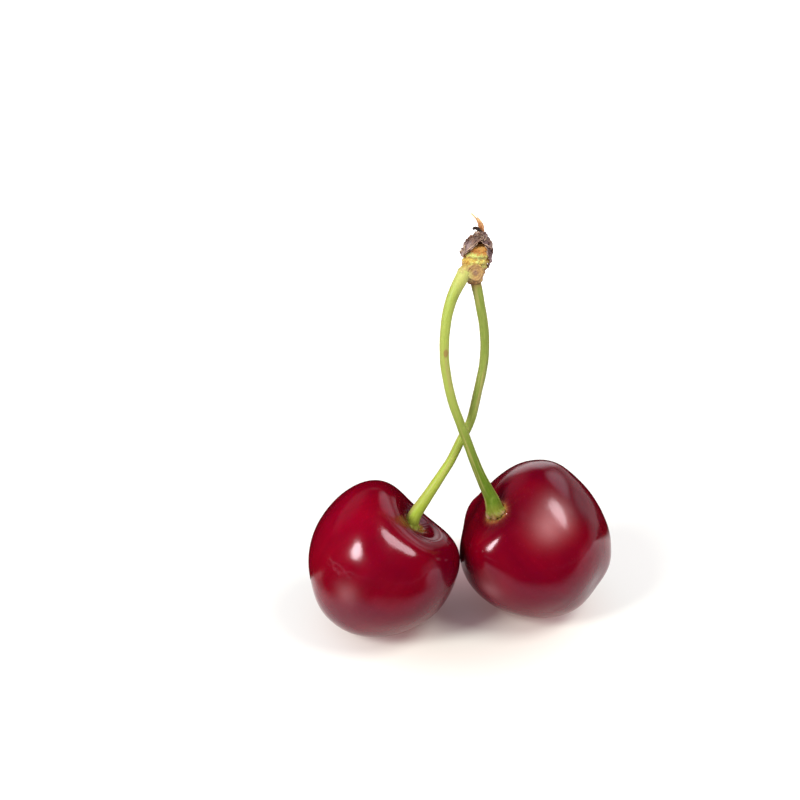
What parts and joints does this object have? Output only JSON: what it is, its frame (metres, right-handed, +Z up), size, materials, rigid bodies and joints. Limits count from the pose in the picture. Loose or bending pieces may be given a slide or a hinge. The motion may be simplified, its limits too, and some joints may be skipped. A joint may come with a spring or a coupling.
{
  "type": "sweet cherries on stalks",
  "caption": "Sweet cherries on long green stalks that cross and join at a small woody spur topped with dry bud scales, resting on a surface.",
  "frame": {"origin": "on the resting plane, midway between the two fruits", "axes": "+X from the left fruit to the right fruit, +Z up along the stalks, +Y away from the front"},
  "size_m": [0.0534, 0.0264, 0.0708],
  "materials": {
    "cherry_skin": "taut glossy crimson skin, darker towards the stalk funnel",
    "stalk_green": "satin yellow-green with fine lengthwise ribs",
    "spur_yellow": "dry yellow to orange-tan folds with brown scars",
    "bud_scale_brown": "dry papery purple-brown scales with pale edges",
    "dry_wisp_tan": "dry orange-tan strip"
  },
  "bodies": {
    "root": {"cherry_left": "cherry_skin", "cherry_right": "cherry_skin", "stalk_left": "stalk_green", "stalk_right": "stalk_green", "spur": "spur_yellow", "bud_scales": "bud_scale_brown", "dry_wisp": "dry_wisp_tan"}
  },
  "joints": []
}
